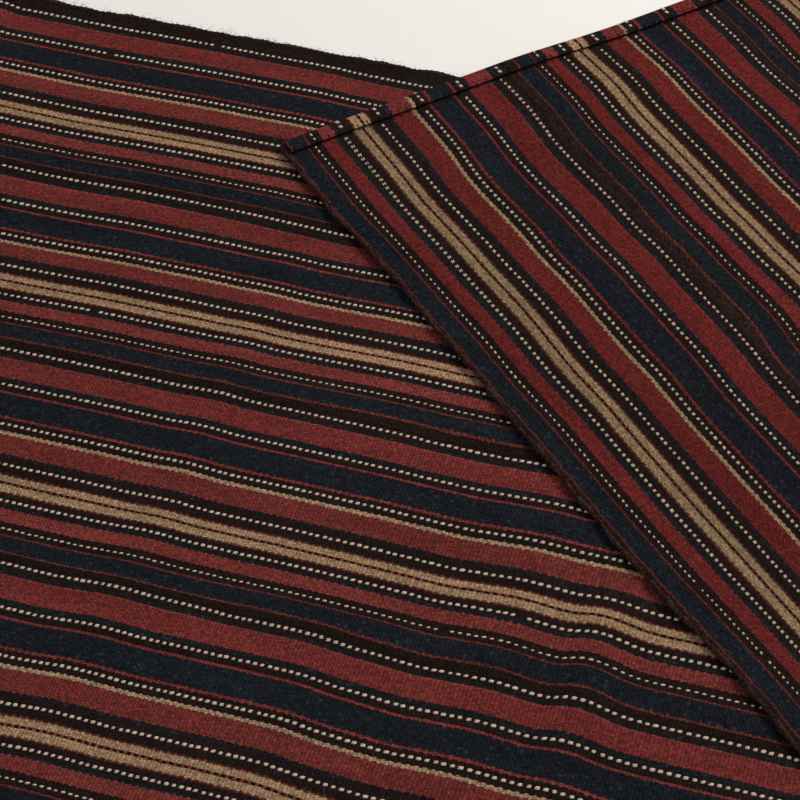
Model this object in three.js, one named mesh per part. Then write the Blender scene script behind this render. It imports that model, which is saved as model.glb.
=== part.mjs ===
// A striped flat-woven cloth that lies on the floor with its right-hand part folded over on top of it.
// X runs along the stripes of the lower layer, Y across them, away from the near woven edge, Z is up.
// The cloth is one closed sheet. It is worked out flat first, as a length along the stripes from the
// left hem and a width across them from the near edge, and is then laid down, bent and turned over.
import * as THREE from "three";

// Driving dimensions of the flat cloth, in millimetres
const REPEAT = 134; // one repeat of the stripes, measured across them
const REPEATS = 4;
const CLOSING_BAND = 5.4; // the brown band that ends the last repeat at the far edge
const WIDTH = REPEATS * REPEAT + CLOSING_BAND;
const LENGTH = 1350; // hem to hem
const THICK = 2.2;
const HEM = 11; // how wide each end is turned over
const HEM_THICK = 2.2; // the turned layer, which lies on the back of the cloth
const HEM_EDGE = 1.5; // over which the turned layer ends
const HEM_FALL = 14; // over which the lower layer comes down from its own hem
const EDGE_ROLL = 2.5; // the rounded strip along each woven edge
const EDGE_THICK = 0.55; // how thick the very edge is, as a share of the cloth

// Driving dimensions of the fold
const FOLD_ANGLE = THREE.MathUtils.degToRad(68.3); // between the lower stripes and the fold
const FOLD_START = 683; // from the left hem to the fold, along the near edge
const FOLD_RADIUS = 4.6; // of the bend, at the middle of the cloth's thickness
const LAYER_GAP = 0.8; // air between the lower layer and the flap
const SETTLE = 85; // over which the flap comes down from the fold
const EDGE_CLEAR = 12; // how far the flap runs on level past the far edge before it goes down
const EDGE_FALL = 60; // over which it reaches the floor there

// Where the left hem and the near edge lie, so that the origin is under the middle of the whole
const LEFT_X = -452.1;
const NEAR_Y = -423;

// Soft creases across the stripes. along: from the left hem. across: their middle, from the near edge.
// before, after: their half-widths along the stripes, towards the left hem and away from it.
// reach: half their length, across the stripes.
// lift: how far they raise the cloth. shift: how far they push the stripes and edges outwards.
const CREASES = [
  { along: 95, across: 360, before: 75, after: 75, reach: 330, lift: 0, shift: -1.9 },
  { along: 242, across: 270, before: 22, after: 22, reach: 330, lift: 0.5, shift: 0.7 },
  { along: 384, across: 150, before: 26, after: 14, reach: 190, lift: 0, shift: -0.5 },
  { along: 422, across: 150, before: 22, after: 22, reach: 190, lift: 0.5, shift: 0.8 },
  { along: 458, across: 140, before: 14, after: 24, reach: 90, lift: 1.8, shift: 2 },
  { along: 900, across: 0, before: 190, after: 110, reach: 75, lift: 0, shift: 4 },
  { along: 1035, across: 105, before: 110, after: 110, reach: 70, lift: 0.9, shift: -1.2 },
  { along: 1165, across: 120, before: 42, after: 42, reach: 260, lift: 1.1, shift: 0.9 },
  { along: 1125, across: 330, before: 40, after: 40, reach: 180, lift: 0.8, shift: -0.5 },
  { along: 1275, across: 60, before: 60, after: 110, reach: 190, lift: 0.4, shift: -1.5 },
  { along: 1290, across: 0, before: 45, after: 140, reach: 26, lift: 0, shift: -2.2 },
];

// Steps of the grid
const LAID_STEP = 42; // along the flat parts
const ACROSS_STEP = 30; // across the stripes
const BEND_STEPS = 10;
const SETTLE_STEPS = 6;
const STRAIGHT_LOWER = 520; // up to here the grid's columns are square to the stripes
const STRAIGHT_FLAP = 1040; // and from here on again
const PROBE = 0.5; // step for the surface's slope

const WOOL = new THREE.MeshStandardMaterial({ color: 0x4b2b29, roughness: 0.95, metalness: 0 });

const BEND_LENGTH = Math.PI * FOLD_RADIUS;
const FOLD_ALONG = new THREE.Vector2(Math.cos(FOLD_ANGLE), Math.sin(FOLD_ANGLE));
const FOLD_LEFT = new THREE.Vector2(-FOLD_ALONG.y, FOLD_ALONG.x);
const FOLD_ROOT = new THREE.Vector2(LEFT_X + FOLD_START, NEAR_Y);
const FAR_Y = NEAR_Y + WIDTH;

// A soft step from 0 to 1 as t goes from 0 to 1.
function ease(t) {
  const c = THREE.MathUtils.clamp(t, 0, 1);
  return c * c * (3 - 2 * c);
}

// A soft hump: 1 in the middle, 0 at the half-width on either side and beyond it.
function hump(distance, before, after) {
  const half = distance < 0 ? before : after;
  return Math.abs(distance) < half ? 0.5 + 0.5 * Math.cos((Math.PI * distance) / half) : 0;
}

// The sum of one column of the crease table at a place on the flat cloth.
function creased(along, across, column) {
  return CREASES.reduce(
    (sum, c) =>
      sum + c[column] * hump(along - c.along, c.before, c.after) * hump(across - c.across, c.reach, c.reach),
    0,
  );
}

// How much of the turned hem lies under or over the cloth at this length, from 0 to 1.
function hemShare(along) {
  const atLeft = 1 - ease((along - HEM) / HEM_EDGE);
  const atRight = ease((along - (LENGTH - HEM - HEM_EDGE)) / HEM_EDGE);
  return Math.max(atLeft, atRight);
}

// Where the middle of the cloth's thickness lies, for a place on the flat cloth.
function middle(along, across) {
  const lift = creased(along, across, "lift");
  const width = across + creased(along, across, "shift");
  const fromRoot = new THREE.Vector2(along - FOLD_START, width);
  const past = fromRoot.dot(new THREE.Vector2(FOLD_ALONG.y, -FOLD_ALONG.x));
  if (past <= 0) {
    const overHem = HEM_THICK * (1 - ease((along - HEM) / HEM_FALL));
    return new THREE.Vector3(FOLD_ROOT.x + fromRoot.x, FOLD_ROOT.y + fromRoot.y, THICK / 2 + overHem + lift);
  }
  const onFold = FOLD_ROOT.clone().addScaledVector(FOLD_ALONG, fromRoot.dot(FOLD_ALONG));
  if (past < BEND_LENGTH) {
    const turn = past / FOLD_RADIUS;
    onFold.addScaledVector(FOLD_LEFT, -FOLD_RADIUS * Math.sin(turn));
    return new THREE.Vector3(onFold.x, onFold.y, THICK / 2 + FOLD_RADIUS * (1 - Math.cos(turn)) + lift);
  }
  const back = past - BEND_LENGTH;
  onFold.addScaledVector(FOLD_LEFT, back);
  const onLayer = 1 - ease((onFold.y - FAR_Y - EDGE_CLEAR) / EDGE_FALL);
  const under = creased(onFold.x - LEFT_X, onFold.y - NEAR_Y, "lift");
  const level = (THICK + LAYER_GAP) * onLayer + under;
  const fromBend = (2 * FOLD_RADIUS - THICK - LAYER_GAP) * (1 - ease(back / SETTLE));
  return new THREE.Vector3(onFold.x, onFold.y, THICK / 2 + level + fromBend + lift);
}

// The length along the near or any other line of the cloth at which it meets the fold.
function foldAt(across) {
  return FOLD_START + across / Math.tan(FOLD_ANGLE);
}

// Even steps from one value to another, both included.
function steps(from, to, size) {
  const count = Math.max(1, Math.round((to - from) / size));
  return Array.from({ length: count + 1 }, (unused, k) => from + ((to - from) * k) / count);
}

// Lengths at which the square columns of the grid stand, between two limits, with the creases' own.
function squareColumns(from, to) {
  const narrow = CREASES.filter((c) => Math.max(c.before, c.after) < LAID_STEP);
  const own = narrow.flatMap((c) => [c.along - c.before, c.along, c.along + c.after]);
  const kept = own.filter((x) => x > from && x < to);
  const even = steps(from, to, LAID_STEP).filter((x) => x === from || x === to || kept.every((k) => Math.abs(k - x) > 12));
  const all = [...even, ...kept].sort((a, b) => a - b);
  return all.filter((x, k) => k === 0 || x - all[k - 1] > 4);
}

// The grid's columns: each is a function that gives its length at a width across the cloth.
function columns() {
  const square = (x) => () => x;
  const slanted = (past) => (across) => foldAt(across) + past / Math.sin(FOLD_ANGLE);
  const mixed = (from, to, share) => (across) => from(across) + (to(across) - from(across)) * share;
  const between = (from, to, count) =>
    Array.from({ length: count - 1 }, (unused, k) => mixed(from, to, (k + 1) / count));

  const firstHem = [0, HEM, HEM + HEM_EDGE, HEM + HEM_FALL].map(square);
  const lower = squareColumns(HEM + HEM_FALL, STRAIGHT_LOWER).slice(1).map(square);
  const toFold = between(square(STRAIGHT_LOWER), slanted(0), 5);
  const bend = steps(0, BEND_LENGTH, BEND_LENGTH / BEND_STEPS).map(slanted);
  const settle = steps(BEND_LENGTH, BEND_LENGTH + SETTLE, SETTLE / SETTLE_STEPS).slice(1).map(slanted);
  const fromFold = between(slanted(BEND_LENGTH + SETTLE), square(STRAIGHT_FLAP), 5);
  const lastHem = [LENGTH - HEM - HEM_EDGE, LENGTH - HEM, LENGTH];
  const flap = squareColumns(STRAIGHT_FLAP, lastHem[0]).slice(0, -1).map(square);
  return [...firstHem, ...lower, ...toFold, ...bend, ...settle, ...fromFold, ...flap, ...lastHem.map(square)];
}

// One closed sheet: a grid of points on the face, the same on the back, and a rim that joins them.
function foldedCloth() {
  const lengths = columns();
  const widths = [0, ...steps(EDGE_ROLL, WIDTH - EDGE_ROLL, ACROSS_STEP), WIDTH];
  const position = [];
  for (const length of lengths) {
    for (const across of widths) {
      const along = length(across);
      const here = middle(along, across);
      const slopeAlong = middle(along + PROBE, across).sub(middle(along - PROBE, across));
      const slopeAcross = middle(along, across + PROBE).sub(middle(along, across - PROBE));
      const out = slopeAlong.cross(slopeAcross).normalize();
      const half = (THICK / 2) * (across === 0 || across === WIDTH ? EDGE_THICK : 1);
      const face = here.clone().addScaledVector(out, half);
      const back = here.clone().addScaledVector(out, -half - HEM_THICK * hemShare(along));
      position.push(...face.toArray(), ...back.toArray());
    }
  }

  const rows = widths.length;
  const faceAt = (i, j) => 2 * (i * rows + j);
  const backAt = (i, j) => faceAt(i, j) + 1;
  const index = [];
  const quad = (a, b, c, d) => index.push(a, b, c, a, c, d);
  for (let i = 0; i + 1 < lengths.length; i += 1) {
    for (let j = 0; j + 1 < rows; j += 1) {
      quad(faceAt(i, j), faceAt(i + 1, j), faceAt(i + 1, j + 1), faceAt(i, j + 1));
      quad(backAt(i, j), backAt(i, j + 1), backAt(i + 1, j + 1), backAt(i + 1, j));
    }
    quad(backAt(i, 0), backAt(i + 1, 0), faceAt(i + 1, 0), faceAt(i, 0));
    quad(faceAt(i, rows - 1), faceAt(i + 1, rows - 1), backAt(i + 1, rows - 1), backAt(i, rows - 1));
  }
  const last = lengths.length - 1;
  for (let j = 0; j + 1 < rows; j += 1) {
    quad(backAt(0, j), faceAt(0, j), faceAt(0, j + 1), backAt(0, j + 1));
    quad(faceAt(last, j), backAt(last, j), backAt(last, j + 1), faceAt(last, j + 1));
  }

  const geometry = new THREE.BufferGeometry();
  geometry.setAttribute("position", new THREE.Float32BufferAttribute(position, 3));
  geometry.setIndex(index);
  geometry.computeVertexNormals();
  return geometry;
}

const cloth = new THREE.Mesh(foldedCloth(), WOOL);
cloth.name = "kilim";

const kilim = new THREE.Group();
kilim.add(cloth);

export default kilim;
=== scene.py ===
"""A striped flat-woven wool kilim with its right-hand part folded over on top, for Blender 4.5.

Every size is in millimetres until a mesh is made, when it turns to metres. A place on the flat cloth is
a length along the stripes, from the left hem, and a width across them, from the near woven edge.
"""

import logging
from dataclasses import dataclass, replace
from enum import Enum

import bpy
import numpy as np
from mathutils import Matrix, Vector


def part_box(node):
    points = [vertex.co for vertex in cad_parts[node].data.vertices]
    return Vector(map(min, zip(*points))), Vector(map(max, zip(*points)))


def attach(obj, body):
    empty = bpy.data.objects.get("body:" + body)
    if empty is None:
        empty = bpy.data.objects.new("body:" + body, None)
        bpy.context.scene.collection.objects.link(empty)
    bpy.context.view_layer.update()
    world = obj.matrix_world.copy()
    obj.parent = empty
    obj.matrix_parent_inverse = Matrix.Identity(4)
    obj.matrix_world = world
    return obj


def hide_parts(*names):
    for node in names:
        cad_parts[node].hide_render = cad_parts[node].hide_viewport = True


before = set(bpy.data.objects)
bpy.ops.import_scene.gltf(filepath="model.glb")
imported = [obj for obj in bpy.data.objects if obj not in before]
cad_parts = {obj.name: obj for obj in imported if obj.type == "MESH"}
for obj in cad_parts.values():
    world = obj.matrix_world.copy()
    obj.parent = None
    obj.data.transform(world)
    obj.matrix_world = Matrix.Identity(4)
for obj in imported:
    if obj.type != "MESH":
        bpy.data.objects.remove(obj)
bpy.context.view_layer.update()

# The solid whose place the sheet takes
NODE = "kilim"
# One millimetre, in Blender's metres
METRE = 0.001
LOG = logging.getLogger("kilim")

Array = np.ndarray


def linear(colour: str) -> tuple[float, float, float, float]:
    """Turns an sRGB hex colour to the linear values that Blender's sockets take.

    Args:
        colour: six hex digits, without a hash.

    Returns:
        Red, green, blue and an alpha of 1.
    """
    raw = np.array([int(colour[k:k + 2], 16) for k in (0, 2, 4)]) / 255
    flat = np.where(raw <= 0.04045, raw / 12.92, ((raw + 0.055) / 1.055) ** 2.4)
    return (*flat.tolist(), 1.0)


def ease(share: Array) -> Array:
    """A soft step: 0 below 0, 1 above 1, and between them three squares less two cubes of the share."""
    inside = np.clip(share, 0, 1)
    return inside * inside * (3 - 2 * inside)


def hump(distance: Array, before: float, after: float) -> Array:
    """A soft hump: half of one plus the cosine, 1 at no distance and 0 past its reach on either side."""
    reach = np.where(distance < 0, before, after)
    return np.where(np.abs(distance) < reach, 0.5 + 0.5 * np.cos(np.pi * distance / reach), 0.0)


class Side(Enum):
    """One of the cloth's two sides, by the place of its colour in each yarn's pair."""

    FACE = 0
    BACK = 1


class Yarn(Enum):
    """The spun wool's colours, as sRGB hex: as dyed on the cloth's face, and a little darker and bluer on its
    back.
    """

    BROWN = ("1b1411", "201715")
    # The darkest brown: the yarn of the tan's dark dashes, and also painted shade, the dark line where a seam
    # dips in the brown band
    SEAM = ("15100e", "18110f")
    BLACK_BROWN = ("1d1513", "1b1311")
    BLACK_BLUE = ("18191c", "17181c")
    NAVY = ("171a1f", "15181d")
    RED = ("602825", "551e1d")
    RED_NARROW = ("652d29", "57201e")
    RED_MIDDLE = ("5f2925", "541e1c")
    RED_ROPE = ("642b27", "562120")
    RED_LINE = ("542522", "4a201f")
    MADDER = ("6b2f28", "5a241f")
    TAN = ("866e53", "756449")
    TAN_ROPE = ("866f56", "7a674e")
    CREAM = ("cab8a6", "bbaa96")
    FLECK = ("3d4a50", "3d4649")
    HAIR = ("5f5650", "5f5650")

    def on(self, side: Side) -> tuple[float, float, float, float]:
        """The yarn's linear colour on a side."""
        return linear(self.value[side.value])


@dataclass(frozen=True)
class Stripe:
    """One stripe of the repeat.

    Attributes:
        start: where it begins, in millimetres from the repeat's start.
        yarn: the yarn of its warps.
    """

    start: float
    yarn: Yarn


STRIPES = (
    Stripe(0, Yarn.BROWN), Stripe(3, Yarn.RED_LINE), Stripe(4, Yarn.NAVY), Stripe(13, Yarn.RED_LINE),
    Stripe(14, Yarn.BLACK_BROWN), Stripe(21, Yarn.RED_NARROW), Stripe(29, Yarn.BLACK_BLUE),
    Stripe(31, Yarn.BLACK_BROWN), Stripe(38, Yarn.RED_LINE), Stripe(39, Yarn.TAN),
    Stripe(49, Yarn.RED_LINE), Stripe(50, Yarn.BLACK_BROWN), Stripe(60, Yarn.BLACK_BLUE),
    Stripe(62, Yarn.RED_MIDDLE), Stripe(74, Yarn.TAN_ROPE), Stripe(76, Yarn.BLACK_BROWN),
    Stripe(84, Yarn.RED_ROPE), Stripe(85.6, Yarn.NAVY), Stripe(100.2, Yarn.RED_ROPE),
    Stripe(101.6, Yarn.BLACK_BROWN), Stripe(108, Yarn.BLACK_BLUE), Stripe(111, Yarn.RED),
    Stripe(124, Yarn.MADDER), Stripe(125, Yarn.BLACK_BLUE), Stripe(127, Yarn.BLACK_BROWN),
    # The stripe from 132 is painted shade, a dark line that stands for a seam's groove in the brown band
    Stripe(132, Yarn.SEAM), Stripe(133, Yarn.BROWN),
)


@dataclass(frozen=True)
class FloatRow:
    """One row of cream floats.

    Attributes:
        across: the row's middle, in millimetres from the repeat's start.
        strands: how many warps float side by side.
        spread: how far apart their middles stand, in millimetres.
        loose: how unevenly they lie, from 0 to 1.
    """

    across: float
    strands: int
    spread: float
    loose: float

    @property
    def half_width(self) -> float:
        """Half of the row's width where it is painted: half a millimetre, and 0.45 for a further strand."""
        return 0.5 + 0.45 * (self.strands - 1)


FLOAT_ROWS = (
    FloatRow(16.9, 1, 0.0, 0.2), FloatRow(33.4, 2, 0.74, 0.1), FloatRow(55.3, 2, 0.7, 0.1),
    FloatRow(80.3, 2, 0.74, 0.1), FloatRow(106.2, 2, 0.74, 0.1), FloatRow(130.3, 2, 0.74, 0.3),
)


@dataclass(frozen=True)
class Slip:
    """One way in which the stripes lie off their chart: a step across them that comes and goes along them.

    The strips of the repeat were beaten and tensioned by hand, so bands widen, narrow and run aside.

    Attributes:
        amount: how far the stripes move away from the near edge.
        across: widths between which the step takes place, in the order in which it grows. The default lies
            before the near edge, so that the whole width moves.
        rise: lengths between which it comes. The default lies before the left hem.
        fall: lengths between which it goes. The default lies where the folded part hides the lower layer.
    """

    amount: float
    across: tuple[float, float] = (-9, -8)
    rise: tuple[float, float] = (-99, -98)
    fall: tuple[float, float] = (560, 700)


# A fall that never comes, as it lies past the right hem, and a rise on the stretch that nobody sees
ALWAYS = (1990, 2000)
LATER = (640, 900)

SLIPS = (
    # The lower layer's common lean, and how its near strips stand out from it
    Slip(-0.75, fall=(392, 412)),
    Slip(-0.4, rise=(335, 360), fall=(385, 400)),
    Slip(1.3, (185, 158), (205, 235), (395, 440)),
    Slip(1.2, (158, 140), (275, 310), (350, 395)),
    Slip(0.7, (141, 133), fall=(275, 300)),
    Slip(-0.7, (141, 133), (275, 300)),
    Slip(-2.0, (143, 133), (330, 360)),
    Slip(-0.5, (129, 121), fall=(205, 240)),
    Slip(1.0, (129, 121), (265, 300)),
    Slip(0.3, (205, 222)),
    Slip(-0.6, (230, 248)),
    Slip(-0.8, (230, 248), (300, 370)),
    Slip(-1.6, rise=(464, 490)),
    # The lower layer's third and fourth repeats, the third with a narrow middle red
    Slip(-1.0, (255, 340), (212, 245)),
    Slip(-0.8, (365, 385), (215, 245)),
    Slip(1.4, (265, 274)),
    Slip(2.0, (265, 274), (258, 340)),
    Slip(-1.3, (296, 308)),
    Slip(-2.7, (329, 338)),
    Slip(-0.9, (347, 356)),
    Slip(1.9, (387, 395)),
    Slip(-1.0, (430, 444)),
    # The folded part, the second repeat stepped out from the first
    Slip(0.5, rise=LATER, fall=ALWAYS),
    Slip(-0.9, (100, 75), (1085, 1125), ALWAYS),
    Slip(-0.7, (36, 28), (1110, 1180), ALWAYS),
    Slip(-0.6, (40, 28), LATER, ALWAYS),
    Slip(-1.0, (60, 80), (1125, 1160), (1190, 1225)),
    Slip(-1.2, (136, 152), (1120, 1150), (1175, 1205)),
    Slip(0.8, (178, 200), (1120, 1150), ALWAYS),
    Slip(-0.6, (84, 100), (1205, 1225), ALWAYS),
    Slip(0.6, (122, 132), (1205, 1225), ALWAYS),
    Slip(0.5, (29, 40), (1110, 1200), ALWAYS),
    Slip(0.7, (29, 40), (1270, 1305), ALWAYS),
    Slip(-0.7, (58, 66), LATER, (1250, 1290)),
    Slip(-0.9, (58, 66), LATER, (1075, 1105)),
    Slip(1.6, (58, 66), (1272, 1310), ALWAYS),
    Slip(0.7, (76, 86), (1060, 1090), ALWAYS),
    Slip(-0.5, (98, 108), LATER, ALWAYS),
    Slip(-0.6, (98, 108), LATER, (1070, 1095)),
    Slip(0.7, (122, 129), LATER, ALWAYS),
    Slip(3.6, (133, 145), LATER, ALWAYS),
    Slip(1.6, (133, 145), (1080, 1110), ALWAYS),
    Slip(0.8, (146, 156), LATER, ALWAYS),
)

# Length from the left hem, and how far apart the floats stand there: two picks, more where beaten softly
PITCHES = (
    (-30, 3.6), (100, 3.6), (200, 3.3), (290, 3.3), (350, 3.55), (430, 3.85), (600, 3.6),
    (940, 3.25), (1030, 3.75), (1150, 3.95), (1400, 4.0),
)


class Push(Enum):
    """The two ways in which a crease moves the cloth, named as the crease's own values are."""

    LIFT = "lift"
    SHIFT = "shift"


@dataclass(frozen=True)
class Crease:
    """One soft crease across the stripes.

    Attributes:
        along: where it is, from the left hem.
        across: its middle, from the near edge.
        before: its half-width towards the left hem.
        after: its half-width away from it.
        reach: half its length, across the stripes.
        lift: how far it raises the cloth.
        shift: how far it pushes the stripes outwards, away from the near edge.
    """

    along: float
    across: float
    before: float
    after: float
    reach: float
    lift: float
    shift: float


CREASES = (
    Crease(95, 360, 75, 75, 330, 0.0, -1.9),
    Crease(242, 270, 22, 22, 330, 0.5, 0.7),
    Crease(384, 150, 26, 14, 190, 0.0, -0.5),
    Crease(422, 150, 22, 22, 190, 0.5, 0.8),
    Crease(458, 140, 14, 24, 90, 1.8, 2.0),
    Crease(900, 0, 190, 110, 75, 0.0, 4.0),
    Crease(1035, 105, 110, 110, 70, 0.9, -1.2),
    Crease(1165, 120, 42, 42, 260, 1.1, 0.9),
    Crease(1125, 330, 40, 40, 180, 0.8, -0.5),
    Crease(1275, 60, 60, 110, 190, 0.4, -1.5),
    Crease(1290, 0, 45, 140, 26, 0.0, -2.2),
)


@dataclass(frozen=True)
class ClothSizes:
    """The driving sizes of the cloth and its fold, in millimetres and degrees.

    Attributes:
        repeat: width of one repeat of the stripes.
        repeats: how many repeats lie side by side.
        closing_band: width of the brown band past the last repeat.
        closing_brown: how far into the repeat the closing band's brown is taken from.
        length: from hem to hem along the stripes.
        thick: the cloth's thickness.
        dashed_line: where the line in the middle of the tan runs, from the repeat's start.
        dashed_width: that line's width.
        painted: share of two picks that a painted float is long.
        beads: how many beads of the weave fill a repeat's width.
        pick: the mean length of one weft's row.
        hem: how much of each end is turned over.
        hem_gap: air inside a hem.
        hem_slip: how far the hem on top has moved sideways.
        hem_thin: length over which a hem's end thins out.
        hem_fall: length over which the cloth comes down beside the hem that lies under it.
        fold_angle: the fold's direction, away from that of the stripes.
        fold_start: where the fold meets the near edge, from the left hem.
        fold_radius: the fold's radius, at the middle of the cloth.
        layer_gap: air between the two layers.
        settle: length over which the folded part comes down from the bend.
        edge_clear: how far past the lower layer's far edge the folded part still lies at its height.
        edge_fall: length over which it then comes down to the floor.
        straight_lower: length up to which the lower layer's columns are square to the stripes.
        straight_flap: length from which the folded part's columns are so again.
        ripple: height of the slow ripples.
        sway: how far every stripe wanders.
        pull: how far the wefts pull the woven edges in and out.
        pulled: how deep into the cloth that reaches.
        probe: half the distance over which the cloth's slope is measured.
        rounded: how far in from a woven edge the cloth thins out.
        limit: how far from a hem the floats and fibres keep.
        cover: how far under the folded part they still lie on the lower layer.
    """

    repeat: float = 134.0
    repeats: int = 4
    closing_band: float = 5.4
    closing_brown: float = 2.4
    length: float = 1350.0
    thick: float = 2.2
    dashed_line: float = 44.1
    dashed_width: float = 1.8
    painted: float = 0.66
    beads: int = 122
    pick: float = 1.7
    hem: float = 11.0
    hem_gap: float = 0.2
    hem_slip: float = 1.2
    hem_thin: float = 3.0
    hem_fall: float = 14.0
    fold_angle: float = 68.3
    fold_start: float = 683.0
    fold_radius: float = 4.6
    layer_gap: float = 0.8
    settle: float = 85.0
    edge_clear: float = 12.0
    edge_fall: float = 60.0
    straight_lower: float = 520.0
    straight_flap: float = 1040.0
    ripple: float = 0.35
    sway: float = 0.09
    pull: float = 0.4
    pulled: float = 14.0
    probe: float = 0.6
    rounded: float = 1.7
    limit: float = 1.5
    cover: float = 12.0

    @property
    def bead(self) -> float:
        """Width of one bead of the weave, two warps of which one is up."""
        return self.repeat / self.beads

    @property
    def width(self) -> float:
        """From one woven edge to the other."""
        return self.repeats * self.repeat + self.closing_band

    @property
    def turn(self) -> float:
        """The radius of a hem's own bend, at the middle of the cloth's thickness."""
        return (self.thick + self.hem_gap) / 2

    @property
    def first(self) -> float:
        """Length at which the left hem's bend begins."""
        return self.turn + self.thick / 2

    @property
    def last(self) -> float:
        """Length at which the right hem's bend begins."""
        return self.length - self.first

    @property
    def hem_run(self) -> float:
        """Cloth used by a hem past the start of its bend."""
        return np.pi * self.turn + self.hem - self.first


class Weave:
    """Where the picks and the stripes really lie on the flat cloth."""

    def __init__(self, sizes: ClothSizes) -> None:
        """Adds up the picks along the cloth: each step's length over the size of a pick there.

        Args:
            sizes: the cloth's driving sizes.
        """
        self.sizes = sizes
        self.lengths = np.arange(PITCHES[0][0], PITCHES[-1][0], 1.0)
        pitch = np.interp(self.lengths, *zip(*PITCHES))
        self.counts = np.cumsum(2 / pitch)

    def picks(self, along: Array) -> Array:
        """Number of picks up to a length."""
        return np.interp(along, self.lengths, self.counts)

    def along(self, picks: Array) -> Array:
        """Length at which a number of picks is reached."""
        return np.interp(picks, self.counts, self.lengths)

    def slip(self, along: Array, across: Array) -> Array:
        """How far the stripe that lies at a place is off its chart: the sum of the slips, and a slow sway.

        Each strip of the repeat sways in its own way. Near the woven edges, where the wefts pull, a quicker
        sway is added, which fades out inwards.

        Args:
            along: lengths from the left hem.
            across: widths from the near edge.

        Returns:
            Distances away from the near edge.
        """
        steps = sum(
            s.amount * ease((across - s.across[0]) / (s.across[1] - s.across[0]))
            * ease((along - s.rise[0]) / (s.rise[1] - s.rise[0]))
            * (1 - ease((along - s.fall[0]) / (s.fall[1] - s.fall[0])))
            for s in SLIPS
        )
        strip = np.floor((across - 1.5) / self.sizes.repeat)
        sway = np.sin(along / 17 + 2.1 * strip) + 0.7 * np.sin(along / 7.9 + across / 31 + strip)
        inward = np.minimum(across, self.sizes.width - across)
        pulled = np.sin(along / 3.1 + 2 * np.sin(along / 19)) * (1 - ease(inward / self.sizes.pulled))
        return steps + self.sizes.sway * sway + self.sizes.pull * pulled

    def row(self, along: Array, across: Array) -> Array:
        """The charted width of the stripe that lies at a place."""
        return across - self.slip(along, across)

    def across(self, along: Array, row: Array) -> Array:
        """Where a charted width lies: eight steps of the tangent method on the row.

        Args:
            along: lengths from the left hem.
            row: charted widths.

        Returns:
            Widths from the near edge.
        """
        across = np.array(row, float)
        for _ in range(8):
            miss = self.row(along, across) - row
            slope = (self.row(along, across + 0.1) - self.row(along, across - 0.1)) / 0.2
            across -= miss / np.maximum(slope, 0.3)
        return across

    def woven(self, along: Array, across: Array) -> Array:
        """The place in the weave, in metres: picks times the mean pick, and the charted width."""
        return np.stack([self.picks(along) * self.sizes.pick, self.row(along, across)], -1) * METRE


class Part(Enum):
    """Where on the folded cloth something lies on top, and so shows."""

    LOWER = "lower layer, face up"
    FOLDED = "folded part, back up"
    HEM = "hem turned over on the folded part"

    @property
    def up(self) -> float:
        """1 where the face is up there, -1 where the back is."""
        return -1.0 if self is Part.FOLDED else 1.0


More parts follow.
